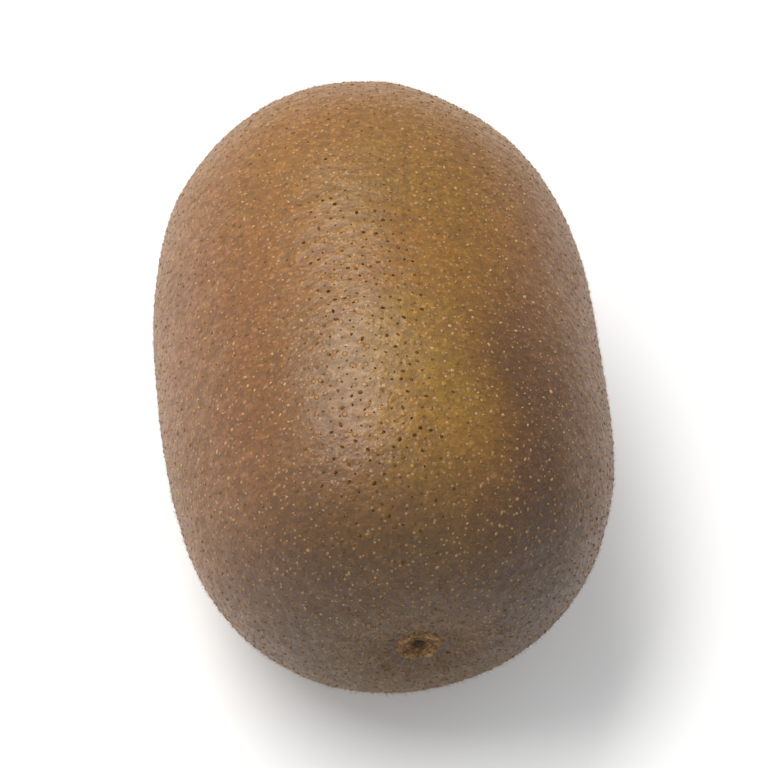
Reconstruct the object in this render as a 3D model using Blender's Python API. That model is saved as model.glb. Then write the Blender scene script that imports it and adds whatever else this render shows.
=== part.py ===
"""A whole golden kiwi fruit, picked and lying on its side.

Metres, +Z up. The long axis runs along Y: the stem end looks towards -Y and the blossom end
towards +Y. The fruit rests on a small flat spot at z = 0, under its middle.
"""

import math
import random

import bmesh
import bpy
from mathutils import Matrix, Vector

# Skin, without the dried styles
LENGTH = 0.0820
WIDTH = 0.0560
HEIGHT = 0.0540
FLAT_DEPTH = 0.0005

# Outline along the length. An exponent of 2 is an ellipse, and a larger one is blunter. OVATE
# above 0 makes the stem end the wider one, and below 0 the blossom end.
STEM_BLUNTNESS = 3.4
BLOSSOM_BLUNTNESS = 2.8
OVATE = -0.008

# Gentle irregularity of a grown thing, as shares of the radius
THREE_SIDED = 0.006
TWIST = 0.9
SWELL = 0.005
SWELL_WAVES = 2.0

# Hollow of the stem end and low rise of the blossom end
STEM_HOLLOW_DEPTH = 0.0021
STEM_HOLLOW_RADIUS = 0.0072
BLOSSOM_RISE = 0.0011
BLOSSOM_RISE_RADIUS = 0.0062

# Corky scar where the stalk came off, with its raised rim and the pit in its middle
SCAR_RADIUS = 0.0033
SCAR_HEIGHT = 0.0006
SCAR_PIT = 0.0003

# Crown of the blossom end, and the dried styles on it
CROWN_RADIUS = 0.0034
CROWN_HEIGHT = 0.0009
STYLE_COUNT = 26
STYLE_SPREAD = 0.0025
STYLE_LENGTH = (0.0014, 0.0024)
STYLE_ROOT = 0.0016
STYLE_RADIUS = 0.00034
STYLE_TIP_SHARE = 0.5
STYLE_LEAN = 0.75
STYLE_CURL = 0.40
STYLE_SIDES = 5
STYLE_STATIONS = (0.0, 0.45, 0.8, 1.0)
STYLE_SEED = 4
LEAN_SCATTER = (0.75, 1.10)
TURN_SCATTER = 0.2

# Fineness of the faceted surfaces
BODY_SEGMENTS = 64
BODY_RINGS = 45
END_CROWDING = 0.35
SMALL_SEGMENTS = 28
SINK = 0.0028

GOLDEN_ANGLE = math.pi * (3 - math.sqrt(5))
SMOOTH_BELOW = math.radians(40)


def clear_scene():
    for thing in list(bpy.data.objects):
        bpy.data.objects.remove(thing, do_unlink=True)


def make_material(name, colour, roughness):
    material = bpy.data.materials.new(name)
    material.use_nodes = True
    shader = material.node_tree.nodes["Principled BSDF"]
    shader.inputs["Base Color"].default_value = (*colour, 1.0)
    shader.inputs["Roughness"].default_value = roughness
    shader.inputs["Metallic"].default_value = 0.0
    return material


def make_object(name, shape, material):
    """Turns a bmesh into a mesh object of one material, with its faces pointing out."""
    bmesh.ops.recalc_face_normals(shape, faces=shape.faces)
    mesh = bpy.data.meshes.new(name)
    shape.to_mesh(mesh)
    shape.free()
    mesh.materials.append(material)
    thing = bpy.data.objects.new(name, mesh)
    bpy.context.scene.collection.objects.link(thing)
    return thing


def closed_rings(rings, first, last):
    """A closed skin through rings of points, from one end point to the other."""
    shape = bmesh.new()
    loops = [[shape.verts.new(point) for point in ring] for ring in rings]
    ends = (shape.verts.new(first), shape.verts.new(last))
    count = len(loops[0])
    for i in range(count):
        j = (i + 1) % count
        shape.faces.new((ends[0], loops[0][j], loops[0][i]))
        shape.faces.new((ends[1], loops[-1][i], loops[-1][j]))
        for low, high in zip(loops, loops[1:]):
            shape.faces.new((low[i], low[j], high[j], high[i]))
    return shape


def skin_point(t, angle):
    """A point of the skin: t is -1 at the stem end and 1 at the blossom end."""
    toward_blossom = (1 + t) / 2
    bluntness = STEM_BLUNTNESS + (BLOSSOM_BLUNTNESS - STEM_BLUNTNESS) * toward_blossom
    radius = math.sqrt(max(0.0, 1 - abs(t) ** bluntness)) * (1 - OVATE * t)
    radius *= 1 + THREE_SIDED * math.cos(3 * angle + TWIST * t)
    radius *= 1 + SWELL * math.sin(SWELL_WAVES * t + angle)
    x = radius * math.cos(angle) * WIDTH / 2
    z = radius * math.sin(angle) * (HEIGHT + FLAT_DEPTH) / 2
    y = t * LENGTH / 2
    off_axis = math.hypot(x, z)
    if t < 0:
        y += STEM_HOLLOW_DEPTH * math.exp(-((off_axis / STEM_HOLLOW_RADIUS) ** 2))
    else:
        y += BLOSSOM_RISE * math.exp(-((off_axis / BLOSSOM_RISE_RADIUS) ** 2))
    return Vector((x, y, z))


def ring_places():
    """Values of t for the rings, closer together towards both ends."""
    for i in range(1, BODY_RINGS + 1):
        turn = math.pi * i / (BODY_RINGS + 1)
        yield -math.cos(turn - END_CROWDING * math.sin(2 * turn) / 2)


def fit_to_size(shape):
    """Scales the skin to its length, width and full height, and centres it on the origin."""
    for axis, size in enumerate((WIDTH, LENGTH, HEIGHT + FLAT_DEPTH)):
        low = min(vert.co[axis] for vert in shape.verts)
        high = max(vert.co[axis] for vert in shape.verts)
        for vert in shape.verts:
            vert.co[axis] = (vert.co[axis] - (low + high) / 2) * size / (high - low)


def cut_flat_spot(shape):
    """Takes a thin slice off the underside, which leaves the spot that the fruit rests on."""
    geometry = shape.verts[:] + shape.edges[:] + shape.faces[:]
    floor = Vector((0, 0, FLAT_DEPTH - (HEIGHT + FLAT_DEPTH) / 2))
    bmesh.ops.bisect_plane(shape, geom=geometry, plane_co=floor, plane_no=(0, 0, -1), clear_outer=True)
    rim = [edge for edge in shape.edges if edge.is_boundary]
    bmesh.ops.edgeloop_fill(shape, edges=rim)


def make_body(material):
    angles = [math.tau * i / BODY_SEGMENTS for i in range(BODY_SEGMENTS)]
    rings = [[skin_point(t, angle) for angle in angles] for t in ring_places()]
    shape = closed_rings(rings, skin_point(-1.0, 0.0), skin_point(1.0, 0.0))
    fit_to_size(shape)
    cut_flat_spot(shape)
    return make_object("kiwi_fruit", shape, material)


def axis_height(body, side):
    """Y of the skin where the long axis comes out, at the stem end or the blossom end."""
    start = Vector((0, side * LENGTH, 0))
    hit, place, _, _ = body.ray_cast(start, Vector((0, -side, 0)))
    assert hit, "the long axis comes out of the skin at both ends"
    return place.y


def turned(profile, base, side):
    """A closed button turned round the long axis, from radius and height above the skin."""
    rings = []
    for radius, height in profile:
        y = base + side * height
        turns = [math.tau * (i + 0.5) / SMALL_SEGMENTS for i in range(SMALL_SEGMENTS)]
        rings.append([(radius * math.cos(a), y, radius * math.sin(a)) for a in turns])
    top = (0, base + side * profile[0][1], 0)
    bottom = (0, base + side * profile[-1][1], 0)
    return closed_rings(rings, top, bottom)


def make_scar(body, material):
    """The corky button in the stem hollow, with a raised rim and a small pit in its middle."""
    base = axis_height(body, -1)
    profile = [
        (SCAR_RADIUS * 0.14, -SCAR_PIT),
        (SCAR_RADIUS * 0.28, SCAR_HEIGHT * 0.35),
        (SCAR_RADIUS * 0.52, SCAR_HEIGHT * 0.55),
        (SCAR_RADIUS * 0.70, SCAR_HEIGHT),
        (SCAR_RADIUS * 0.82, SCAR_HEIGHT * 0.90),
        (SCAR_RADIUS, -SCAR_HEIGHT * 0.20),
        (SCAR_RADIUS * 0.95, -SINK),
    ]
    return make_object("stem_scar", turned(profile, base, -1), material)


def make_crown(body, material):
    """The low corky dome that the dried styles stand on."""
    base = axis_height(body, 1)
    profile = [
        (CROWN_RADIUS * 0.30, CROWN_HEIGHT),
        (CROWN_RADIUS * 0.62, CROWN_HEIGHT * 0.85),
        (CROWN_RADIUS * 0.86, CROWN_HEIGHT * 0.45),
        (CROWN_RADIUS, -CROWN_HEIGHT * 0.20),
        (CROWN_RADIUS * 0.92, -SINK),
    ]
    return make_object("crown", turned(profile, base, 1), material)


def make_style(number, foot, lean, length, spin, material):
    """One dried style: a slim tapered stub, sunk in the crown and curling outwards."""
    outward = Vector((foot.x, 0, foot.z)).normalized()
    sideways = outward.cross(Vector((0, 1, 0)))
    turns = [spin + math.tau * i / STYLE_SIDES for i in range(STYLE_SIDES)]
    rings = []
    for share in STYLE_STATIONS:
        tilt = lean + STYLE_CURL * share
        along = Vector((0, 1, 0)) * math.cos(tilt) + outward * math.sin(tilt)
        across = sideways.cross(along)
        centre = foot + along * (share * (length + STYLE_ROOT) - STYLE_ROOT)
        width = STYLE_RADIUS * (1 - (1 - STYLE_TIP_SHARE) * share)
        rings.append([centre + width * (sideways * math.cos(a) + across * math.sin(a)) for a in turns])
    middles = [sum(ring, Vector()) / STYLE_SIDES for ring in (rings[0], rings[-1])]
    return make_object(f"style_{number:02d}", closed_rings(rings, *middles), material)


def make_styles(body, material):
    """The brush of dried styles, set out like seeds in a flower head."""
    draw = random.Random(STYLE_SEED)
    base = axis_height(body, 1)
    styles = []
    for i in range(STYLE_COUNT):
        share = math.sqrt((i + 0.5) / STYLE_COUNT)
        turn = i * GOLDEN_ANGLE + draw.uniform(-TURN_SCATTER, TURN_SCATTER)
        height = CROWN_HEIGHT * (1 - share**2 / 2)
        off_axis = STYLE_SPREAD * share
        foot = Vector((off_axis * math.cos(turn), base + height, off_axis * math.sin(turn)))
        lean = STYLE_LEAN * share * draw.uniform(*LEAN_SCATTER)
        length = draw.uniform(*STYLE_LENGTH)
        styles.append(make_style(i, foot, lean, length, draw.uniform(0, math.tau), material))
    return styles


def fuse(body, pieces):
    """Joins the pieces to the body in one union and removes them."""
    group = bpy.data.collections.new("fused_to_body")
    bpy.context.scene.collection.children.link(group)
    for piece in pieces:
        bpy.context.scene.collection.objects.unlink(piece)
        group.objects.link(piece)
    union = body.modifiers.new("union", "BOOLEAN")
    union.operation = "UNION"
    union.operand_type = "COLLECTION"
    union.collection = group
    union.solver = "MANIFOLD"
    graph = bpy.context.evaluated_depsgraph_get()
    joined = bpy.data.meshes.new_from_object(body.evaluated_get(graph))
    body.modifiers.clear()
    body.data = joined
    for piece in pieces:
        bpy.data.objects.remove(piece, do_unlink=True)
    bpy.data.collections.remove(group)


def stand_on_origin(body):
    """Moves the mesh so that the origin is at the middle of the underside of its box."""
    corners = [vert.co for vert in body.data.vertices]
    low = Vector([min(co[axis] for co in corners) for axis in range(3)])
    high = Vector([max(co[axis] for co in corners) for axis in range(3)])
    body.data.transform(Matrix.Translation((-(low.x + high.x) / 2, -(low.y + high.y) / 2, -low.z)))


def main():
    clear_scene()
    skin = make_material("bronze_skin", (0.235, 0.135, 0.042), 0.55)
    cork = make_material("corky_scar", (0.26, 0.16, 0.085), 0.85)
    dry = make_material("dried_styles", (0.055, 0.030, 0.016), 0.9)
    body = make_body(skin)
    pieces = [make_scar(body, cork), make_crown(body, cork), *make_styles(body, dry)]
    fuse(body, pieces)
    stand_on_origin(body)
    body.data.shade_smooth()
    body.data.set_sharp_from_angle(angle=SMOOTH_BELOW)


main()
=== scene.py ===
"""The looks of a whole golden kiwi fruit that lies on its side.

Metres, +Z up. The long axis runs along Y, with the stem end towards -Y and the blossom end towards
+Y. The skin repeats the solid's own formula on a much finer mesh and adds the relief of real skin.
"""

import math

import bpy
import numpy as np
from mathutils import Matrix, Vector, noise
from mathutils.kdtree import KDTree


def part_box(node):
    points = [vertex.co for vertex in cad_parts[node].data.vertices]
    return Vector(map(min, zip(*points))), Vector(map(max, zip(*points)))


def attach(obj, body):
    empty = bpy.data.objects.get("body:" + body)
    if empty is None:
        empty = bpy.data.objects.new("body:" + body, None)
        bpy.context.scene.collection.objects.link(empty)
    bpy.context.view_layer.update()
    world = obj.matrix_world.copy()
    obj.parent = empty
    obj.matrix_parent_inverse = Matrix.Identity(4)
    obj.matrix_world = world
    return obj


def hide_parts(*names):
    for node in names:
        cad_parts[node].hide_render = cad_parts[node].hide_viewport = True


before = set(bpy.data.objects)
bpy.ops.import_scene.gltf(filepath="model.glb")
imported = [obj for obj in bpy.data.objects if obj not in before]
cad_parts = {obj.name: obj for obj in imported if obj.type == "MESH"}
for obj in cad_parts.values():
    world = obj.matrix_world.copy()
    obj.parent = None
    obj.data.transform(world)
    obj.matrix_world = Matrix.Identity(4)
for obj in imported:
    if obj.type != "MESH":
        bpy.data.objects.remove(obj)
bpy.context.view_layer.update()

# The solid's own form, repeated
LENGTH = 0.0820
WIDTH = 0.0560
HEIGHT = 0.0540
FLAT_DEPTH = 0.0005
STEM_BLUNTNESS = 3.4
BLOSSOM_BLUNTNESS = 2.8
OVATE = -0.008
THREE_SIDED = 0.006
TWIST = 0.9
SWELL = 0.005
SWELL_WAVES = 2.0
STEM_HOLLOW_DEPTH = 0.0021
STEM_HOLLOW_RADIUS = 0.0072
BLOSSOM_RISE = 0.0011
BLOSSOM_RISE_RADIUS = 0.0062
SCAR_RADIUS = 0.0033
SCAR_HEIGHT = 0.0006
SCAR_PIT = 0.0003
CROWN_RADIUS = 0.0034
CROWN_HEIGHT = 0.0009
STYLE_SPREAD = 0.0025
SINK = 0.0010

# Fineness of the skin, and how far its rings crowd towards both ends
SKIN_SEGMENTS = 312
SKIN_RINGS = 306
END_CROWDING = 0.08

# Relief of the skin: size of a swelling, and how far it stands up or sinks in
BROAD_SIZE, BROAD_HEIGHT = 0.024, 0.00034
LUMP_SIZE, LUMP_HEIGHT = 0.0085, 0.00017
DIMPLE_SIZE, DIMPLE_HEIGHT = 0.0030, 0.00007
PEBBLE_SIZE, PEBBLE_HEIGHT = 0.0013, 0.00006
PEBBLE_SQUEEZE = 1.4

# Below this height the broad swellings fade, so that the flat spot stays flat
FLAT_FADE = 0.006

# Folds that run off both ends: how many, how high, how far out, and how they wander
FOLD_COUNT, FOLD_HEIGHT, FOLD_REACH = 17, 0.00009, 0.0085
FOLD_WANDER_SIZE, FOLD_WANDER = 0.004, 5.2

# The skin gives way under the scar, so that the pit in the scar stays open
SCAR_SEAT_DEPTH, SCAR_SEAT_RADIUS = 0.0012, SCAR_RADIUS * 0.85

# Lenticels: small raised dots of cork, scattered over the glossy skin
DOT_TRIES = 40000
DOT_GAP = 0.00098
DOT_RADIUS = (0.00012, 0.00031)
DOT_CROWDING = 1.9
DOT_STRETCH = (1.0, 1.32)
DOT_HEIGHT = 0.00010
DOT_HEIGHT_VARIES = (0.55, 1.2)
DOT_EDGE_VARIES = (0.85, 1.15)
DOT_SLANT = 0.8
DOT_SIDES = 7
DOT_CLEAR = 1.25
DOT_LOWEST = 0.0004

# The foot and the shoulder of a lenticel: share of its radius, and of its height
DOT_RINGS = ((1.0, -0.35), (0.6, 0.85))

# Fuzz all over and longer hairs at both ends: how many, shortest and longest, radius at the root
FUZZ_COUNT = 49000
FUZZ_LENGTH = (0.00028, 0.00085)
FUZZ_CROWDING = 1.8
FUZZ_RADIUS = 0.000018
FUZZ_END_REACH = 0.016
FUZZ_PATCH_SIZE = 0.009
FUZZ_THINNEST, FUZZ_IN_PATCHES, FUZZ_AT_ENDS = 0.6, 0.8, 0.8
FUZZ_LOWEST = 0.0008
END_HAIR_COUNT = 5600
END_HAIR_LENGTH = (0.0006, 0.0015)
END_HAIR_RADIUS = 0.000021
END_HAIR_REACH = 0.0085
END_HAIRS_AT_STEM = 0.7

# How a hair leans away from upright, in radians, and how deep it is rooted
HAIR_LEAN = 0.90
HAIR_LEAN_VARIES = (0.55, 1.2)
HAIR_RADIUS_VARIES = (0.7, 1.3)
HAIR_SCATTER = 0.50
HAIR_ROOT = 0.00005

# The scar: fineness, size and height of its grain, and heights of the breaks, rings and cracks
SCAR_SEGMENTS, SCAR_STEPS = 150, 84
SCAR_GRAIN_SIZE, SCAR_GRAIN = 0.0008, 0.00013
SCAR_BREAKS, SCAR_RINGS, SCAR_CRACKS = 0.00028, 0.00004, 0.00075
SCAR_RING_GAP = 0.13

# The crown: fineness, size and height of its grain, and how many folds and how high
CROWN_SEGMENTS, CROWN_STEPS = 120, 60
CROWN_GRAIN_SIZE, CROWN_GRAIN = 0.0008, 0.00012
CROWN_FOLD_COUNT, CROWN_FOLDS = 23, 0.00009

# Dried styles: how many, shortest and longest, radius at the root, bends in radians, and fineness
STYLE_COUNT = 74
STYLE_LENGTH = (0.0008, 0.0025)
STYLE_RADIUS = 0.00015
STYLE_KNOTS = (0.8, 1.25)
STYLE_TAPER = 0.45
STYLE_ROOT = SINK * 0.6
STYLE_SHIFT = 0.25
STYLE_LEAN = 0.95
STYLE_LEAN_VARIES = (0.4, 1.25)
STYLE_CURL = (-0.2, 1.1)
STYLE_SWAY = 1.1
STYLE_STATIONS = 9
STYLE_SIDES = 7

# Zones of the skin's colour. Each pair says where a zone begins and where it is full: along the
# fruit, off its top line, across it or up
GOLD_ALONG, GOLD_OFF_TOP, GOLD_UP = (0.002, -0.018), (0.010, 0.002), (0.030, 0.042)
FLANK_OFF_TOP = (0.009, 0.023)
# The dark stripe beside the gold is painted shade
SHADE_BAND_ALONG, SHADE_BAND_OFF_TOP, SHADE_BAND_FADING = (0.002, -0.022), (0.004, 0.013), (0.014, 0.025)
SHADE_BAND_ACROSS = (-0.008, 0.004)
STEM_ZONE = 0.018
BLOSSOM_ZONE = (0.040, 0.010)
ZONE_WANDER_SIZE, ZONE_WANDER = 0.014, 0.0012

# Patterns in the skin: how wide their patches are, and how deep their bumps
MOTTLE_SIZE = 0.024
RUSSET_SIZE = 0.008
RIPPLE_SIZE, RIPPLE_DEPTH = 0.0013, 0.00017
GRAIN_SIZE, GRAIN_DEPTH = 0.00045, 0.00006
GRIT_PATCH_SIZE, GRIT_DEPTH = 0.006, 0.00009

# Round spots in the skin: how far apart, radius, and the share that is there
GRIT = (0.00100, 0.00038, 0.8)
FLECKS = (0.00078, 0.00021, 0.6)

# Camera: it looks down at the fruit from beyond the stem end. The fruit, and the place that it
# aims at, lie right of and above the line straight ahead, as shares of the distance
CAMERA_TURN = math.radians(3.4)
CAMERA_PITCH = math.radians(57.0)
FRUIT_RIGHT, FRUIT_UP = 0.1199, 0.0531
AIM_RIGHT, AIM_UP = 0.1214, 0.0489
CAMERA_DISTANCE = 0.474
CAMERA_LENS = 177.0
SENSOR_WIDTH = 36.0
CLIP_START = 0.01

# Light of the room, and the share of it that the floor adds so that it has no edge far away
ROOM_COLOUR = (0.96, 0.98, 1.0)
ROOM_LIGHT = 0.60
FLOOR_GLOW = 0.18
FLOOR_HALF = 12.0

# Lamps: place, width and height, power and colour
LAMPS = {
    "softbox_above": ((-0.33, 0.18, 0.86), (0.90, 0.40), 9.2, (1.0, 0.98, 0.96)),
    "softbox_side": ((-0.80, -0.20, 0.55), (0.70, 0.70), 0.8, (1.0, 1.0, 1.0)),
}

rng = np.random.default_rng(11)


def srgb(red, green, blue):
    """Linear colour from the usual 0 to 255 values."""
    shares = (red / 255, green / 255, blue / 255)
    return tuple(((c + 0.055) / 1.055) ** 2.4 if c > 0.04 else c / 12.92 for c in shares)


# Colours of the skin
OLIVE = srgb(114, 80, 8)
BRONZE = srgb(120, 78, 10)
RUSSET = srgb(102, 60, 12)
# Partly the fruit's tone, partly painted light on the top where the lamp falls
GOLD_AND_LIT_TOP = srgb(124, 92, 16)
FLANK_BROWN = srgb(113, 71, 43)
# Painted shade: the dark stripe on the flank beside the gold
PAINTED_SHADE_BROWN = srgb(68, 39, 11)
# Darker stem end: partly the end's own brown, partly painted shade
STEM_BROWN_AND_SHADE = srgb(58, 39, 22)
BLOSSOM_BROWN = srgb(128, 84, 28)
FLECK_TAN = srgb(206, 172, 130)
ENDS_BROWN = srgb(84, 56, 34)
SEAM_BROWN = srgb(58, 38, 22)
SHEEN_TAN = srgb(236, 192, 150)

# What the skin's colour is multiplied by: painted shade in the hollows, and paler on raised parts,
# as pale grit and as painted highlight on crests
SHADED_HOLLOWS = (0.40, 0.34, 0.30)
PALE_GRIT_AND_LIT_CRESTS = (2.4, 2.4, 3.2)

# Colours of the small parts and of the floor. A pair is the darker and the lighter one
LENTICEL_TANS = srgb(116, 84, 48), srgb(176, 142, 100)
# Dark dots: some at random, and those along the top as painted shade against its highlight
LENTICEL_DARK_AND_SHADED = srgb(70, 44, 20), srgb(112, 76, 36)
# Partly painted shade, as on the skin at the stem end
LENTICEL_STEM_BROWN_AND_SHADE = srgb(92, 66, 42)
HAIR_GOLDENS = srgb(134, 98, 56), srgb(176, 140, 92)
CORK_TANS = srgb(82, 56, 34), srgb(140, 106, 68)
# The rim's pale crest is painted highlight, the pit's dark is partly painted shade, the edge's dark
# is painted shade
CORK_RIM_HIGHLIGHT = srgb(170, 136, 94)
CORK_PIT_AND_SHADE = srgb(44, 28, 17)
CORK_EDGE_SHADE = srgb(58, 39, 24)
CORK_CRACK = srgb(58, 38, 24)
CROWN_BROWNS = srgb(48, 31, 20), srgb(104, 74, 48)
STYLE_BROWNS = srgb(48, 32, 21), srgb(130, 97, 64)
FLOOR_GREYS = (0.80, 0.80, 0.79), (0.83, 0.83, 0.82)


# Form


def skin_form(t, angle):
    """The skin before it is scaled to size, for arrays of t (-1 stem, 1 blossom) and angle."""
    bluntness = STEM_BLUNTNESS + (BLOSSOM_BLUNTNESS - STEM_BLUNTNESS) * (1 + t) / 2
    radius = np.sqrt(np.maximum(0, 1 - np.abs(t) ** bluntness)) * (1 - OVATE * t)
    radius = radius * (1 + THREE_SIDED * np.cos(3 * angle + TWIST * t))
    radius = radius * (1 + SWELL * np.sin(SWELL_WAVES * t + angle))
    x = radius * np.cos(angle) * WIDTH / 2
    z = radius * np.sin(angle) * (HEIGHT + FLAT_DEPTH) / 2
    off_axis = np.hypot(x, z)
    hollow = STEM_HOLLOW_DEPTH * np.exp(-((off_axis / STEM_HOLLOW_RADIUS) ** 2))
    rise = BLOSSOM_RISE * np.exp(-((off_axis / BLOSSOM_RISE_RADIUS) ** 2))
    y = t * LENGTH / 2 + np.where(t < 0, hollow, rise)
    return np.stack([x, y, z], -1)


def closed_faces(rings, segments):
    """Faces of a closed skin: rings of points, then the first and the last end point."""
    first = rings * segments
    last = first + 1
    i = np.arange(segments)
    j = (i + 1) % segments
    faces = []
    for ring in range(rings - 1):
        low = ring * segments
        high = low + segments
        faces += np.stack([low + i, high + i, high + j, low + j], 1).tolist()
    top = (rings - 1) * segments
    faces += np.stack([np.full(segments, first), i, j], 1).tolist()
    faces += np.stack([np.full(segments, last), top + j, top + i], 1).tolist()
    return faces


def make_piece(name, points, faces, material):
    """A smooth mesh object that moves with the fruit."""
    mesh = bpy.data.meshes.new(name)
    mesh.from_pydata(points.tolist(), [], faces)
    mesh.validate()
    mesh.shade_smooth()
    mesh.materials.append(material)
    piece = bpy.data.objects.new(name, mesh)
    bpy.context.scene.collection.objects.link(piece)
    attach(piece, "root")
    return piece


def lay_out(piece, corners):
    """Gives the piece a map for its patterns: one pair of places per face corner."""
    layer = piece.data.uv_layers.new(name="OFBake")
    layer.uv.foreach_set("vector", np.asarray(corners, np.float32).ravel())


def normals_of(mesh):
    """The normals of a mesh's points, one row each."""
    normals = np.zeros(len(mesh.vertices) * 3, np.float32)
    mesh.vertices.foreach_get("normal", normals)
    return normals.reshape(-1, 3).astype(float)


def bare_skin():
    """Points of the skin in place, ring by ring and then both ends, without relief."""
    turn = math.pi * np.arange(1, SKIN_RINGS + 1) / (SKIN_RINGS + 1)
    t = -np.cos(turn - END_CROWDING * np.sin(2 * turn) / 2)
    angle = math.tau * np.arange(SKIN_SEGMENTS) / SKIN_SEGMENTS
    grid = skin_form(t[:, None], angle[None, :]).reshape(-1, 3)
    ends = skin_form(np.array([-1.0, 1.0]), np.zeros(2))
    points = np.concatenate([grid, ends])
    low, high = points.min(0), points.max(0)
    size = np.array([WIDTH, LENGTH, HEIGHT + FLAT_DEPTH])
    points = (points - (low + high) / 2) * size / (high - low)
    stem_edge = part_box("kiwi_fruit")[0].y
    return points + np.array([0, stem_edge + LENGTH / 2, HEIGHT - (HEIGHT + FLAT_DEPTH) / 2])


def relief(point, stem, blossom):
    """Height of the skin's relief at a point, in metres."""
    off_floor = min(1.0, max(0.0, point.z) / FLAT_FADE)
    broad = noise.noise(point / BROAD_SIZE) * BROAD_HEIGHT * off_floor
    lump = noise.noise(point / LUMP_SIZE) * LUMP_HEIGHT
    dimple = noise.noise(point / DIMPLE_SIZE) * DIMPLE_HEIGHT
    squeezed = Vector((point.x, point.y * PEBBLE_SQUEEZE, point.z))
    pebble = noise.noise(squeezed / PEBBLE_SIZE) * PEBBLE_HEIGHT
    height = broad + lump + dimple + pebble
    seat = min(1.0, (point - stem).length / SCAR_SEAT_RADIUS)
    height -= SCAR_SEAT_DEPTH * (1 - seat * seat) ** 2
    for end in (stem, blossom):
        away = (point - end).length
        turn = math.atan2(point.z - end.z, point.x - end.x)
        wander = FOLD_WANDER * noise.noise(point / FOLD_WANDER_SIZE)
        fade = math.exp(-((away / FOLD_REACH) ** 2)) * min(1.0, away / SCAR_RADIUS)
        height += FOLD_HEIGHT * fade * math.cos(FOLD_COUNT * turn + wander)
    return height


def skin_map():
    """The skin unrolled: round the fruit from left to right, and from the stem end up."""
    across, up = 1 / SKIN_SEGMENTS, 1 / (SKIN_RINGS + 1)
    near = np.arange(SKIN_SEGMENTS) * across
    far = near + across
    left, bottom = np.broadcast_arrays(near[None, :], np.arange(1, SKIN_RINGS)[:, None] * up)
    right, top = left + across, bottom + up
    sides = np.stack([left, bottom, left, top, right, top, right, bottom], -1)
    middle = near + across / 2
    zero, one = np.zeros(SKIN_SEGMENTS), np.ones(SKIN_SEGMENTS)
    first = np.stack([middle, zero, near, zero + up, far, zero + up], -1)
    last = np.stack([middle, one, far, one - up, near, one - up], -1)
    return np.concatenate([sides.ravel(), first.ravel(), last.ravel()])


def cell_map(count, outline):
    """Every small thing gets a cell of its own in a square grid, with its corners at outline."""
    wide = math.ceil(math.sqrt(count))
    cell = np.stack([np.arange(count) % wide, np.arange(count) // wide], -1)[:, None, :]
    return (cell + np.asarray(outline)[None, :, :]) / wide


def make_skin(points, stem, blossom, material):
    """The skin with its relief, which stands in for the solid."""
    faces = closed_faces(SKIN_RINGS, SKIN_SEGMENTS)
    skin = make_piece("fruit_skin", points, faces, material)
    heights = np.array([relief(Vector(p), stem, blossom) for p in points])
    points = points + normals_of(skin.data) * heights[:, None]
    points[:, 2] = np.maximum(points[:, 2], 0)
    skin.data.vertices.foreach_set("co", points.astype(np.float32).ravel())
    skin.data.update()
    lay_out(skin, skin_map())
    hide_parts("kiwi_fruit")
    return skin


# Random places on the skin


def scatter(mesh, count, weight):
    """Random places on a mesh, with their normals. weight says how thickly they lie at a point."""
    mesh.calc_loop_triangles()
    corners = np.zeros(len(mesh.loop_triangles) * 3, np.int32)
    mesh.loop_triangles.foreach_get("vertices", corners)
    corners = corners.reshape(-1, 3)
    places = np.zeros(len(mesh.vertices) * 3, np.float32)
    mesh.vertices.foreach_get("co", places)
    places = places.reshape(-1, 3).astype(float)
    normals = normals_of(mesh)
    a, b, c = (places[corners[:, k]] for k in range(3))
    area = np.linalg.norm(np.cross(b - a, c - a), axis=1) * weight((a + b + c) / 3)
    chosen = rng.choice(len(corners), count, p=area / area.sum())
    shares = rng.random((count, 2))
    shares = np.where(shares.sum(1, keepdims=True) > 1, 1 - shares, shares)
    mix = np.stack([1 - shares.sum(1), shares[:, 0], shares[:, 1]], 1)
    at = sum(mix[:, k, None] * places[corners[chosen, k]] for k in range(3))
    up = sum(mix[:, k, None] * normals[corners[chosen, k]] for k in range(3))
    return at, up / np.linalg.norm(up, axis=1, keepdims=True)


def crowded_low(limits, crowding, shape):
    """Random values between two limits, crowded towards the lower one."""
    return limits[0] + (limits[1] - limits[0]) * rng.random(shape) ** crowding


def unit(vectors):
    """The vectors, each brought to a length of 1."""
    return vectors / np.maximum(np.linalg.norm(vectors, axis=1, keepdims=True), 1e-12)


def off_end(points, end):
    """How far each point is from an end of the fruit."""
    return np.linalg.norm(points - np.array(end), axis=1)


# Hairs


def hair_mesh(name, at, up, lengths, root_radius, material):
    """Three-sided tapered hairs, rooted in the skin and combed towards the blossom end."""
    combed = np.array([0, 1.0, 0]) + HAIR_SCATTER * rng.normal(size=at.shape)
    flat = unit(combed - up * (combed * up).sum(1, keepdims=True))
    lean = HAIR_LEAN * rng.uniform(*HAIR_LEAN_VARIES, (len(at), 1))
    along = unit(up * np.cos(lean) + flat * np.sin(lean))
    side = unit(np.cross(along, up))
    other = np.cross(along, side)
    radius = root_radius * rng.uniform(*HAIR_RADIUS_VARIES, (len(at), 1))
    root = at - up * HAIR_ROOT
    tip = root + along * lengths[:, None]
    third = [math.tau * k / 3 for k in range(3)]
    base = [root + radius * (side * math.cos(a) + other * math.sin(a)) for a in third]
    points = np.stack([*base, tip], 1).reshape(-1, 3)
    corners = np.array([[0, 1, 3], [1, 2, 3], [2, 0, 3], [2, 1, 0]])
    faces = (4 * np.arange(len(at))[:, None, None] + corners).reshape(-1, 3)
    hairs = make_piece(name, points, faces.tolist(), material)
    # On the map the three sides of a hair fan out from its tip, and its foot lies below them
    roots, tip_place = [(0.10, 0.20), (0.37, 0.20), (0.63, 0.20), (0.90, 0.20)], (0.50, 0.92)
    sides = [place for k in range(3) for place in (roots[k], roots[k + 1], tip_place)]
    foot = [(0.30, 0.06), (0.70, 0.06), (0.50, 0.14)]
    lay_out(hairs, cell_map(len(at), sides + foot))


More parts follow.
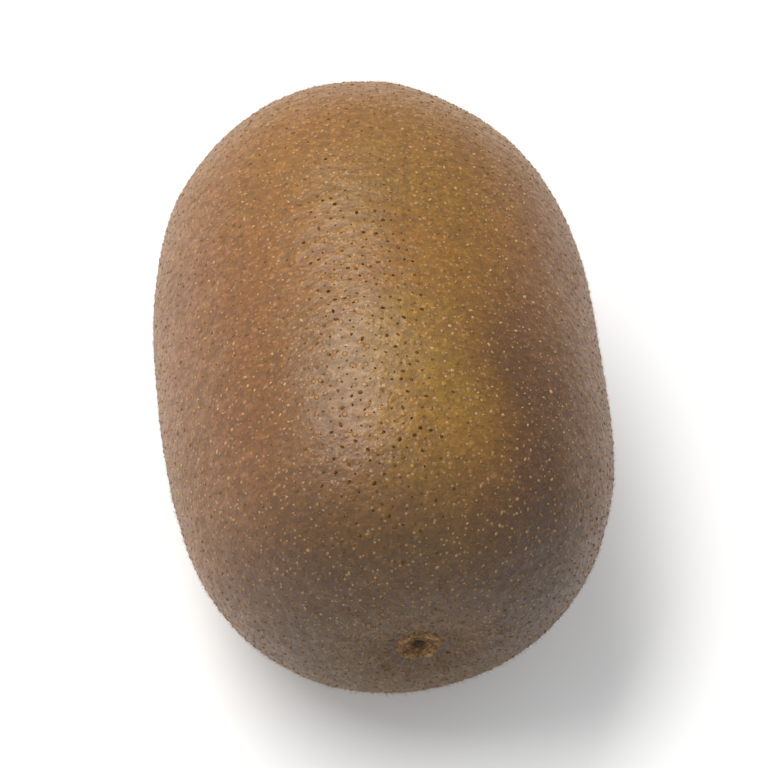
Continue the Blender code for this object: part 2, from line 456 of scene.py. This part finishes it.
def make_hairs(skin, stem, blossom, material):
    """Patchy fuzz all over, thicker towards both ends, and longer hairs round the ends."""

    def all_over(points):
        fades = [np.exp(-((off_end(points, end) / FUZZ_END_REACH) ** 2)) for end in (stem, blossom)]
        clear = (off_end(points, stem) > SCAR_RADIUS * 1.1) * (points[:, 2] > FUZZ_LOWEST)
        swells = np.array([abs(noise.noise(Vector(p) / FUZZ_PATCH_SIZE)) for p in points])
        patchy = FUZZ_THINNEST + FUZZ_IN_PATCHES * swells
        return clear * patchy * (1 + FUZZ_AT_ENDS * (fades[0] + fades[1]))

    def near_ends(points):
        fades = [np.exp(-((off_end(points, end) / END_HAIR_REACH) ** 2)) for end in (stem, blossom)]
        off_scar = off_end(points, stem) > SCAR_RADIUS
        off_crown = off_end(points, blossom) > CROWN_RADIUS * 0.9
        return off_scar * off_crown * (END_HAIRS_AT_STEM * fades[0] + fades[1])

    at, up = scatter(skin.data, FUZZ_COUNT, all_over)
    lengths = crowded_low(FUZZ_LENGTH, FUZZ_CROWDING, FUZZ_COUNT)
    hair_mesh("short_fuzz", at, up, lengths, FUZZ_RADIUS, material)
    at, up = scatter(skin.data, END_HAIR_COUNT, near_ends)
    lengths = rng.uniform(*END_HAIR_LENGTH, END_HAIR_COUNT)
    hair_mesh("end_hairs", at, up, lengths, END_HAIR_RADIUS, material)


# Lenticels


def spaced(places, gap):
    """Which places to keep, in their order, so that no two kept ones are nearer than gap."""
    tree = KDTree(len(places))
    for i, place in enumerate(places):
        tree.insert(place, i)
    tree.balance()
    kept = np.zeros(len(places), bool)
    for i, place in enumerate(places):
        kept[i] = not any(kept[j] for _, j, _ in tree.find_range(place, gap))
    return kept


def make_lenticels(skin, stem, blossom, material):
    """Low rough dots all over the skin, mostly a little longer one way than the other."""

    def between_ends(points):
        off_scar = off_end(points, stem) > SCAR_RADIUS * DOT_CLEAR
        off_crown = off_end(points, blossom) > CROWN_RADIUS * DOT_CLEAR
        return off_scar * off_crown * (points[:, 2] > DOT_LOWEST)

    at, up = scatter(skin.data, DOT_TRIES, between_ends)
    kept = spaced(at, DOT_GAP)
    at, up = at[kept], up[kept]
    count = len(at)
    size = crowded_low(DOT_RADIUS, DOT_CROWDING, (count, 1))
    stretch = rng.uniform(*DOT_STRETCH, (count, 1))
    height = DOT_HEIGHT * rng.uniform(*DOT_HEIGHT_VARIES, (count, 1))
    slanted = np.array([0, 1.0, 0]) + DOT_SLANT * rng.normal(size=(count, 3))
    aside = unit(np.cross(up, slanted))
    along = np.cross(up, aside)
    turns = [math.tau * k / DOT_SIDES for k in range(DOT_SIDES)]
    rings = []
    for share, rise in DOT_RINGS:
        for turn in turns:
            uneven = size * share * rng.uniform(*DOT_EDGE_VARIES, (count, 1))
            flat = aside * (stretch * math.cos(turn)) + along * (math.sin(turn) / stretch)
            rings.append(at + uneven * flat + up * height * rise)
    points = np.stack([*rings, at + up * height], 1).reshape(-1, 3)

    here = np.arange(DOT_SIDES)
    after = (here + 1) % DOT_SIDES
    peak = np.full(DOT_SIDES, 2 * DOT_SIDES)
    low = np.stack([here, after, after + DOT_SIDES, here + DOT_SIDES], 1)
    high = np.stack([here + DOT_SIDES, after + DOT_SIDES, peak], 1)
    underside = here[::-1].tolist()
    faces = [*low.tolist(), *high.tolist(), underside]
    step = 2 * DOT_SIDES + 1
    all_faces = [[i * step + k for k in face] for i in range(count) for face in faces]
    dots = make_piece("lenticels", points, all_faces, material)

    def disc(centre, radius):
        return [(centre + radius * math.cos(t), centre + radius * math.sin(t)) for t in turns]

    # On the map a dot is seen from above, and its underside is a small disc in the corner
    from_above = [*disc(0.5, 0.45), *disc(0.5, 0.27), (0.5, 0.5)]
    corners = [from_above[k] for face in faces[:-1] for k in face]
    lay_out(dots, cell_map(count, corners + disc(0.06, 0.04)))


# Both ends


def bell(value, middle, width):
    """1 at the middle, falling away smoothly on both sides."""
    return math.exp(-(((value - middle) / width) ** 2))


def round_noise(turn, waves, layer):
    """Noise that closes on itself round a circle. Each layer has a pattern of its own."""
    return noise.noise(Vector((math.cos(turn), math.sin(turn), 0)) * waves + Vector((0, 0, layer)))


def turned(profile, end, side, segments, steps, roughen):
    """A button turned round the long axis at an end.

    The profile gives radius and height from the middle outwards. roughen(radius, turn) gives what
    is added to the height, and the share by which the radius grows.
    """
    radii = np.array([p[0] for p in profile])
    heights = np.array([p[1] for p in profile])
    run = np.concatenate([[0], np.cumsum(np.hypot(np.diff(radii), np.diff(heights)))])
    at = np.linspace(0, run[-1], steps)
    radii, heights = np.interp(at, run, radii), np.interp(at, run, heights)
    points = []
    for radius, height in zip(radii, heights):
        for i in range(segments):
            turn = math.tau * i / segments
            lift, spread = roughen(radius, turn)
            x = radius * (1 + spread) * math.cos(turn)
            z = -side * radius * (1 + spread) * math.sin(turn)
            points.append((end.x + x, end.y + side * (height + lift), end.z + z))
    points.append((end.x, end.y + side * (heights[0] + roughen(0, 0)[0]), end.z))
    points.append((end.x, end.y + side * heights[-1], end.z))
    return np.array(points), closed_faces(steps, segments)


def make_scar(stem, material):
    """The corky button where the stalk came off: a broken rim round a rough, sunken middle."""
    profile = [
        (SCAR_RADIUS * 0.03, -SCAR_PIT * 0.5),
        (SCAR_RADIUS * 0.17, -SCAR_PIT * 0.8),
        (SCAR_RADIUS * 0.30, SCAR_HEIGHT * 0.10),
        (SCAR_RADIUS * 0.52, SCAR_HEIGHT * 0.35),
        (SCAR_RADIUS * 0.70, SCAR_HEIGHT * 0.85),
        (SCAR_RADIUS * 0.80, SCAR_HEIGHT * 0.90),
        (SCAR_RADIUS * 0.93, SCAR_HEIGHT * 0.40),
        (SCAR_RADIUS * 1.06, -SCAR_HEIGHT * 0.45),
        (SCAR_RADIUS * 0.98, -SINK),
    ]

    def roughen(radius, turn):
        place = Vector((radius * math.cos(turn), radius * math.sin(turn), 0))
        share = radius / SCAR_RADIUS
        grain = SCAR_GRAIN * noise.fractal(place / SCAR_GRAIN_SIZE, 0.9, 2.0, 5)
        broken = SCAR_BREAKS * bell(share, 0.76, 0.16) * round_noise(turn, 2.3, 4.1)
        wander = share + 0.10 * noise.noise(place / 0.0012)
        waves = math.sin(math.tau * wander / SCAR_RING_GAP)
        rings = SCAR_RINGS * waves * bell(share, 0.5, 0.28)
        crack = max(0.0, round_noise(turn, 5.2, share * 0.7) - 0.22)
        depth = SCAR_CRACKS * crack * bell(share, 0.66, 0.26)
        ragged = 0.10 * round_noise(turn, 1.6, 1.7) + 0.06 * round_noise(turn, 5, 7.3)
        ragged += 0.03 * noise.noise(place / 0.0006)
        return grain + broken + rings - depth, ragged * min(1.0, share * 3)

    points, faces = turned(profile, stem, -1, SCAR_SEGMENTS, SCAR_STEPS, roughen)
    make_piece("stem_scar", points, faces, material)


def make_crown(blossom, material):
    """The low dark dome that the dried styles stand on, with fine folds running off it."""
    profile = [
        (CROWN_RADIUS * 0.02, CROWN_HEIGHT * 0.92),
        (CROWN_RADIUS * 0.30, CROWN_HEIGHT * 0.98),
        (CROWN_RADIUS * 0.60, CROWN_HEIGHT * 0.76),
        (CROWN_RADIUS * 0.84, CROWN_HEIGHT * 0.24),
        (CROWN_RADIUS * 1.02, -CROWN_HEIGHT * 0.28),
        (CROWN_RADIUS * 1.18, -CROWN_HEIGHT * 0.68),
        (CROWN_RADIUS * 1.28, -CROWN_HEIGHT * 1.10),
        (CROWN_RADIUS * 1.10, -SINK * 1.6),
    ]

    def roughen(radius, turn):
        place = Vector((radius * math.cos(turn), radius * math.sin(turn), 5.0))
        share = radius / CROWN_RADIUS
        grain = CROWN_GRAIN * noise.fractal(place / CROWN_GRAIN_SIZE, 1.0, 2.0, 4)
        waves = math.cos(CROWN_FOLD_COUNT * turn + 2.5 * noise.noise(place / 0.002))
        folds = CROWN_FOLDS * waves * min(1.0, share * 1.5)
        ragged = 0.16 * round_noise(turn, 2.4, 9.2)
        return grain + folds, ragged * min(1.0, share * 2)

    points, faces = turned(profile, blossom, 1, CROWN_SEGMENTS, CROWN_STEPS, roughen)
    make_piece("blossom_crown", points, faces, material)


def tube(route, widths, sides, spin):
    """Points and faces of a closed tapered tube along a route that never runs straight up."""
    nearly_up = Vector((0.31, 0.12, 0.94))
    points = []
    for i, (centre, width) in enumerate(zip(route, widths)):
        ahead = route[min(i + 1, len(route) - 1)] - route[max(i - 1, 0)]
        side = ahead.cross(nearly_up).normalized()
        other = side.cross(ahead).normalized()
        for k in range(sides):
            turn = spin + math.tau * k / sides
            points.append(centre + width * (side * math.cos(turn) + other * math.sin(turn)))
    points += [route[0], route[-1]]
    return points, closed_faces(len(route), sides)


def make_styles(blossom, material):
    """The brush of dried styles: thin, dark, curled and broken off at different lengths."""
    golden_angle = math.pi * (3 - math.sqrt(5))
    tapers = [1 - STYLE_TAPER * k / (STYLE_STATIONS - 1) for k in range(STYLE_STATIONS)]
    all_points, all_faces = [], []
    for i in range(STYLE_COUNT):
        share = math.sqrt((i + 0.5) / STYLE_COUNT)
        turn = i * golden_angle + rng.uniform(-STYLE_SHIFT, STYLE_SHIFT)
        outward = Vector((math.cos(turn), 0, math.sin(turn)))
        around = Vector((-math.sin(turn), 0, math.cos(turn)))
        lean = STYLE_LEAN * share * rng.uniform(*STYLE_LEAN_VARIES)
        curl = rng.uniform(*STYLE_CURL)
        sway = rng.uniform(-STYLE_SWAY, STYLE_SWAY)
        length = rng.uniform(*STYLE_LENGTH)
        on_dome = CROWN_HEIGHT * (0.9 - share**2 / 2)
        place = blossom + outward * (STYLE_SPREAD * share) + Vector((0, on_dome, 0))
        route = []
        for k in range(STYLE_STATIONS):
            far = k / (STYLE_STATIONS - 1)
            tilt = lean + curl * far
            step = Vector((0, 1, 0)) * math.cos(tilt) + outward * math.sin(tilt)
            step += around * (sway * far)
            place = place + step.normalized() * (length + STYLE_ROOT) / STYLE_STATIONS
            route.append(place - Vector((0, STYLE_ROOT, 0)))
        knots = rng.uniform(*STYLE_KNOTS, STYLE_STATIONS)
        widths = [STYLE_RADIUS * taper * float(knot) for taper, knot in zip(tapers, knots)]
        points, faces = tube(route, widths, STYLE_SIDES, rng.uniform(0, math.tau))
        start = len(all_points)
        all_points += points
        all_faces += [[start + corner for corner in face] for face in faces]
    make_piece("dried_styles", np.array(all_points), all_faces, material)


# Materials


class Nodes:
    """Short calls for building a material's node tree. Sizes and distances are in metres."""

    def __init__(self, name):
        self.material = bpy.data.materials.new(name)
        self.material.use_nodes = True
        self.tree = self.material.node_tree
        self.shader = self.tree.nodes["Principled BSDF"]

    def put(self, socket, value):
        """Links a socket to another one, or sets it to a plain value."""
        if isinstance(value, bpy.types.NodeSocket):
            self.tree.links.new(value, socket)
        elif isinstance(value, tuple) and socket.type == "RGBA" and len(value) == 3:
            socket.default_value = (*value, 1.0)
        else:
            socket.default_value = value

    def surface(self, values):
        """Puts values on the shader's own sockets."""
        for key, value in values.items():
            self.put(self.shader.inputs[key], value)

    def add(self, kind, inputs=(), **settings):
        """A new node with its settings and its inputs."""
        node = self.tree.nodes.new(kind)
        for key, value in settings.items():
            setattr(node, key, value)
        for key, value in dict(inputs).items():
            self.put(node.inputs[key], value)
        return node

    def place(self):
        """Where a point is on the object itself."""
        return self.add("ShaderNodeTexCoord").outputs["Object"]

    def noise(self, place, size, detail=2.0, roughness=0.5, stretch=None):
        """A noise whose patches are about size metres across."""
        if stretch:
            inputs = {0: place, 1: stretch}
            place = self.add("ShaderNodeVectorMath", inputs, operation="MULTIPLY").outputs[0]
        inputs = {"Vector": place, "Scale": 1 / size, "Detail": detail, "Roughness": roughness}
        return self.add("ShaderNodeTexNoise", inputs).outputs["Fac"]

    def spread(self, value, low, high, new_low=0.0, new_high=1.0):
        """Goes smoothly from new_low to new_high while the value goes from low to high."""
        inputs = {
            "Value": value,
            "From Min": low,
            "From Max": high,
            "To Min": new_low,
            "To Max": new_high,
        }
        node = self.add("ShaderNodeMapRange", inputs, interpolation_type="SMOOTHSTEP")
        return node.outputs["Result"]

    def maths(self, operation, first, second=0.0):
        """One operation on one or two values."""
        return self.add("ShaderNodeMath", {0: first, 1: second}, operation=operation).outputs[0]

    def product(self, *factors):
        """All the factors multiplied together."""
        total = factors[0]
        for factor in factors[1:]:
            total = self.maths("MULTIPLY", total, factor)
        return total

    def mix(self, share, first, second, blend="MIX"):
        """The first colour, with this share of the second one. Colours are on inputs 6 and 7."""
        node = self.add("ShaderNodeMix", data_type="RGBA", blend_type=blend)
        self.put(node.inputs[0], share)
        self.put(node.inputs[6], first)
        self.put(node.inputs[7], second)
        return node.outputs[2]

    def lay(self, colour, mask, strength, new, blend="MIX"):
        """Lays a new colour over another one, at full strength where the mask is 1."""
        return self.mix(self.maths("MULTIPLY", mask, strength), colour, new, blend)

    def dots(self, place, cell, radius, share):
        """Scattered round dots about a cell apart, 1 inside. Only a share of them is there."""
        inputs = {"Vector": place, "Scale": 1 / cell, "Randomness": 1.0}
        cells = self.add("ShaderNodeTexVoronoi", inputs)
        edge = radius / cell
        inside = self.spread(cells.outputs["Distance"], edge * 0.45, edge, 1.0, 0.0)
        pick = self.add("ShaderNodeSeparateColor", {"Color": cells.outputs["Color"]}).outputs[0]
        kept = self.maths("LESS_THAN", pick, share)
        return self.maths("MULTIPLY", inside, kept)

    def away(self, place, centre):
        """How far a place is from a point."""
        inputs = {0: place, 1: tuple(centre)}
        return self.add("ShaderNodeVectorMath", inputs, operation="DISTANCE").outputs["Value"]

    def near(self, place, centre, inner, outer):
        """1 within inner metres of a point, falling to 0 at outer."""
        return self.spread(self.away(place, centre), inner, outer, 1.0, 0.0)

    def bump(self, height, distance, strength, normal=None):
        """A bump of a height, on top of an earlier one where normal gives it."""
        inputs = {"Height": height, "Distance": distance, "Strength": strength}
        node = self.add("ShaderNodeBump", inputs)
        if normal:
            self.put(node.inputs["Normal"], normal)
        return node.outputs["Normal"]


def skin_zones(n, place, stem, blossom):
    """The broad colours of the skin.

    Mottled olive and bronze, golden beside the top line in the half towards the stem and strongest
    high up, partly the fruit's tone and partly painted light where the lamp falls on the top.
    Beside the gold runs a dark stripe of painted shade, with browner flanks and browner ends; the
    stem end is darker, partly painted shade. The hidden side has a weaker dark stripe.
    """
    mottle = n.spread(n.noise(place, MOTTLE_SIZE), 0.35, 0.65)
    russet = n.spread(n.noise(place, RUSSET_SIZE, 3.0, 0.6), 0.45, 0.78, 0.0, 0.55)
    colour = n.mix(russet, n.mix(mottle, OLIVE, BRONZE), RUSSET)

    parts = n.add("ShaderNodeSeparateXYZ", {0: place}).outputs
    across, along, up = parts["X"], parts["Y"], parts["Z"]
    wander = n.spread(n.noise(place, ZONE_WANDER_SIZE), 0.3, 0.7, -ZONE_WANDER, ZONE_WANDER)
    off_top = n.maths("ADD", n.maths("ABSOLUTE", across), wander)

    # Gold beside the top line towards the stem, strongest high up: partly the fruit's own tone,
    # partly painted light on the lit top
    golden = n.product(
        n.spread(along, *GOLD_ALONG),
        n.spread(off_top, *GOLD_OFF_TOP),
        n.spread(up, *GOLD_UP, 0.0, 0.40),
    )
    colour = n.mix(golden, colour, GOLD_AND_LIT_TOP)
    colour = n.lay(colour, n.spread(off_top, *FLANK_OFF_TOP), 0.62, FLANK_BROWN)
    # Painted shade: a dark stripe on the flank beside the gold, towards the stem, weaker on the
    # hidden side
    painted_shade_band = n.product(
        n.spread(off_top, *SHADE_BAND_OFF_TOP, 0.0, 0.80),
        n.spread(off_top, *SHADE_BAND_FADING, 1.0, 0.45),
        n.spread(across, *SHADE_BAND_ACROSS, 0.45, 1.0),
        n.spread(along, *SHADE_BAND_ALONG),
    )
    colour = n.mix(painted_shade_band, colour, PAINTED_SHADE_BROWN)
    # Darker towards the stem end: partly the end's own brown, partly painted shade
    stem_end_and_shade = n.spread(along, stem.y + STEM_ZONE, stem.y)
    colour = n.lay(colour, stem_end_and_shade, 0.80, STEM_BROWN_AND_SHADE)
    blossom_end = n.spread(along, *(blossom.y - reach for reach in BLOSSOM_ZONE))
    return n.lay(colour, blossom_end, 0.72, BLOSSOM_BROWN)


def skin_material(stem, blossom):
    """Glossy skin: broad zones, fine ripples across the fruit, grain, grit and small flecks."""
    n = Nodes("bronze_skin")
    place = n.place()
    colour = skin_zones(n, place, stem, blossom)

    ripple = n.noise(place, RIPPLE_SIZE, 2.0, 0.5, (1.0, 1.5, 1.0))
    grain = n.noise(place, GRAIN_SIZE, 2.0, 0.6)
    patchy = n.spread(n.noise(place, GRIT_PATCH_SIZE), 0.35, 0.65, 0.4, 1.0)
    grit = n.maths("MULTIPLY", n.dots(place, *GRIT), patchy)
    flecks = n.dots(place, *FLECKS)
    # Painted shade in the ripples' hollows and painted highlight on the crests of the ripples and
    # the grain
    ripple_painted_shade = n.spread(ripple, 0.34, 0.54, 0.30, 0.0)
    ripple_painted_highlight = n.spread(ripple, 0.50, 0.70, 0.0, 0.14)
    grain_painted_highlight = n.spread(grain, 0.48, 0.68, 0.0, 0.28)
    colour = n.mix(ripple_painted_shade, colour, SHADED_HOLLOWS, "MULTIPLY")
    colour = n.mix(ripple_painted_highlight, colour, PALE_GRIT_AND_LIT_CRESTS, "MULTIPLY")
    colour = n.mix(grain_painted_highlight, colour, PALE_GRIT_AND_LIT_CRESTS, "MULTIPLY")
    colour = n.lay(colour, grit, 0.26, PALE_GRIT_AND_LIT_CRESTS, "MULTIPLY")
    colour = n.lay(colour, flecks, 0.28, FLECK_TAN)

    by_scar = n.near(place, stem, 0.0030, 0.0090)
    by_crown = n.near(place, blossom, 0.0028, 0.0085)
    colour = n.lay(colour, n.maths("MAXIMUM", by_scar, by_crown), 0.45, ENDS_BROWN)
    scar_seam = n.near(place, stem, 0.0034, 0.0048)
    crown_seam = n.near(place, blossom, 0.0036, 0.0052)
    colour = n.lay(colour, n.maths("MAXIMUM", scar_seam, crown_seam), 0.45, SEAM_BROWN)

    normal = None
    for height, depth in ((ripple, RIPPLE_DEPTH), (grit, GRIT_DEPTH), (grain, GRAIN_DEPTH)):
        normal = n.bump(height, depth, 0.9, normal)
    n.surface(
        {
            "Base Color": colour,
            "Roughness": n.spread(ripple, 0.3, 0.7, 0.51, 0.40),
            "Specular IOR Level": 0.60,
            "Sheen Weight": 0.09,
            "Sheen Roughness": 0.45,
            "Sheen Tint": SHEEN_TAN,
            "Normal": normal,
        }
    )
    return n.material


def lenticel_material():
    """Dull cork: tan dots, and dark brown ones along the top of the fruit as painted shade."""
    n = Nodes("corky_lenticels")
    place = n.place()
    parts = n.add("ShaderNodeSeparateXYZ", {0: place}).outputs
    shade = n.spread(n.noise(place, 0.0013, 1.0), 0.38, 0.62)
    # Tan dots darker towards the stem end, partly painted shade as on the skin there
    stem_end_and_shade = n.spread(parts["Y"], -0.018, -0.036, 0.0, 0.42)
    tan = n.mix(stem_end_and_shade, n.mix(shade, *LENTICEL_TANS), LENTICEL_STEM_BROWN_AND_SHADE)
    dark = n.mix(shade, *LENTICEL_DARK_AND_SHADED)
    # Painted shade: dots along the top are darkened, as they show dark against the top's highlight;
    # others turn dark at random
    off_top = n.maths("ABSOLUTE", n.maths("ADD", parts["X"], 0.005))
    painted_dark_on_top = n.product(
        n.spread(off_top, 0.003, 0.010, 1.0, 0.0),
        n.spread(parts["Z"], 0.036, 0.046),
        n.spread(parts["Y"], -0.002, 0.012, 1.0, 0.25),
    )
    chance = n.maths("MULTIPLY", n.noise(place, 0.0017, 1.0), 1.2)
    is_dark = n.spread(n.maths("ADD", n.maths("MULTIPLY", painted_dark_on_top, 0.6), chance), 0.82, 1.00)
    n.surface(
        {
            "Base Color": n.mix(is_dark, tan, dark),
            "Roughness": 0.92,
            "Specular IOR Level": 0.10,
            "Normal": n.bump(n.noise(place, 0.00012), 0.00004, 0.8),
        }
    )
    return n.material


def hair_material():
    """Pale golden-brown hair, a little darker in places."""
    n = Nodes("golden_hair")
    shade = n.spread(n.noise(n.place(), 0.004), 0.3, 0.7)
    colour = n.mix(shade, *HAIR_GOLDENS)
    n.surface({"Base Color": colour, "Roughness": 0.6, "Specular IOR Level": 0.3})
    return n.material


def cork_material(stem):
    """Dry corky tissue with fine cracks: a tan rim with a painted highlight on its crest, a dark
    middle that is partly painted shade, and painted shade at the edge.
    """
    n = Nodes("corky_scar")
    place = n.place()
    tissue = n.spread(n.noise(place, 0.0010, 4.0, 0.65), 0.3, 0.7)
    colour = n.mix(tissue, *CORK_TANS)
    away = n.away(place, stem)
    # Painted highlight: a paler crest on the rim
    painted_highlight_rim = n.product(
        n.spread(away, 0.0016, 0.0023),
        n.spread(away, 0.0025, 0.0031, 1.0, 0.0),
        n.spread(n.noise(place, 0.0016), 0.35, 0.65, 0.15, 0.75),
    )
    colour = n.mix(painted_highlight_rim, colour, CORK_RIM_HIGHLIGHT)
    # Dark middle: partly the scar's own pit, partly painted shade; the dark outer edge is painted
    # shade
    colour = n.mix(n.spread(away, 0.0002, 0.0015, 1.0, 0.0), colour, CORK_PIT_AND_SHADE)
    colour = n.mix(n.spread(away, 0.0028, 0.0035, 0.0, 0.8), colour, CORK_EDGE_SHADE)
    inputs = {"Vector": place, "Scale": 1 / 0.0006}
    cells = n.add("ShaderNodeTexVoronoi", inputs, feature="DISTANCE_TO_EDGE")
    cracks = n.spread(cells.outputs["Distance"], 0.0, 0.09, 1.0, 0.0)
    height = n.maths("SUBTRACT", n.noise(place, 0.0004, 3.0, 0.6), cracks)
    n.surface(
        {
            "Base Color": n.lay(colour, cracks, 0.4, CORK_CRACK),
            "Roughness": 0.86,
            "Specular IOR Level": 0.25,
            "Normal": n.bump(height, 0.00012, 0.9),
        }
    )
    return n.material


def dry_material(name, browns, size):
    """Dried plant tissue, with streaks about size metres wide between two browns."""
    n = Nodes(name)
    streaks = n.noise(n.place(), size, 4.0, 0.7, (1.0, 0.35, 1.0))
    n.surface(
        {
            "Base Color": n.mix(n.spread(streaks, 0.32, 0.70), *browns),
            "Roughness": 0.82,
            "Specular IOR Level": 0.25,
            "Normal": n.bump(streaks, 0.00010, 0.8),
        }
    )
    return n.material


# Stage, light and camera


def make_floor():
    """A pale, faintly glowing floor that reaches far past the view."""
    n = Nodes("pale_floor")
    tone = n.spread(n.noise(n.place(), 0.15), 0.3, 0.7)
    n.surface(
        {
            "Base Color": n.mix(tone, *FLOOR_GREYS),
            "Roughness": 0.75,
            "Specular IOR Level": 0.2,
            "Emission Color": ROOM_COLOUR,
            "Emission Strength": ROOM_LIGHT * FLOOR_GLOW,
        }
    )
    half = FLOOR_HALF
    corners = [(-half, -half, 0), (half, -half, 0), (half, half, 0), (-half, half, 0)]
    mesh = bpy.data.meshes.new("floor")
    mesh.from_pydata(corners, [], [(0, 1, 2, 3)])
    mesh.materials.append(n.material)
    floor = bpy.data.objects.new("floor", mesh)
    bpy.context.scene.collection.objects.link(floor)


def area_light(name, place, size, power, colour, target):
    """A soft rectangular lamp that shines at the target."""
    data = bpy.data.lights.new(name, "AREA")
    data.shape = "RECTANGLE"
    data.size, data.size_y = size
    data.energy = power
    data.color = colour
    light = bpy.data.objects.new(name, data)
    light.location = place
    light.rotation_euler = (target - Vector(place)).to_track_quat("-Z", "Y").to_euler()
    bpy.context.scene.collection.objects.link(light)


def light_stage(target):
    """The room's even light and the lamps."""
    world = bpy.data.worlds.new("soft_room")
    world.use_nodes = True
    background = world.node_tree.nodes["Background"]
    background.inputs["Color"].default_value = (*ROOM_COLOUR, 1.0)
    background.inputs["Strength"].default_value = ROOM_LIGHT
    bpy.context.scene.world = world
    for name, lamp in LAMPS.items():
        area_light(name, *lamp, target)
    bpy.context.scene.view_settings.view_transform = "Standard"


def place_camera(target):
    """The camera, turned so that its picture stays upright although the target is off its axis."""
    across, along = math.sin(CAMERA_TURN), math.cos(CAMERA_TURN)
    down, level = math.sin(CAMERA_PITCH), math.cos(CAMERA_PITCH)
    right = Vector((along, -across, 0))
    forward = Vector((level * across, level * along, -down))
    up = Vector((down * across, down * along, level))
    sight = (forward + right * AIM_RIGHT + up * AIM_UP).normalized()
    upright = (up - sight * up.dot(sight)).normalized()
    data = bpy.data.cameras.new("camera")
    data.lens = CAMERA_LENS
    data.sensor_width = SENSOR_WIDTH
    data.clip_start = CLIP_START
    camera = bpy.data.objects.new("camera", data)
    camera.location = target - (forward + right * FRUIT_RIGHT + up * FRUIT_UP) * CAMERA_DISTANCE
    camera.rotation_euler = Matrix((sight.cross(upright), upright, -sight)).transposed().to_euler()
    bpy.context.scene.collection.objects.link(camera)
    bpy.context.scene.camera = camera


def main():
    """The fruit on its floor, with the lamps and the camera."""
    points = bare_skin()
    stem, blossom = Vector(points[-2]), Vector(points[-1])
    skin = make_skin(points, stem, blossom, skin_material(stem, blossom))
    make_lenticels(skin, stem, blossom, lenticel_material())
    make_hairs(skin, stem, blossom, hair_material())
    make_scar(stem, cork_material(stem))
    make_crown(blossom, dry_material("dry_crown", CROWN_BROWNS, 0.0008))
    make_styles(blossom, dry_material("dry_styles", STYLE_BROWNS, 0.0006))
    middle = Vector((0, (stem.y + blossom.y) / 2, HEIGHT / 2))
    make_floor()
    light_stage(middle)
    place_camera(middle)


main()
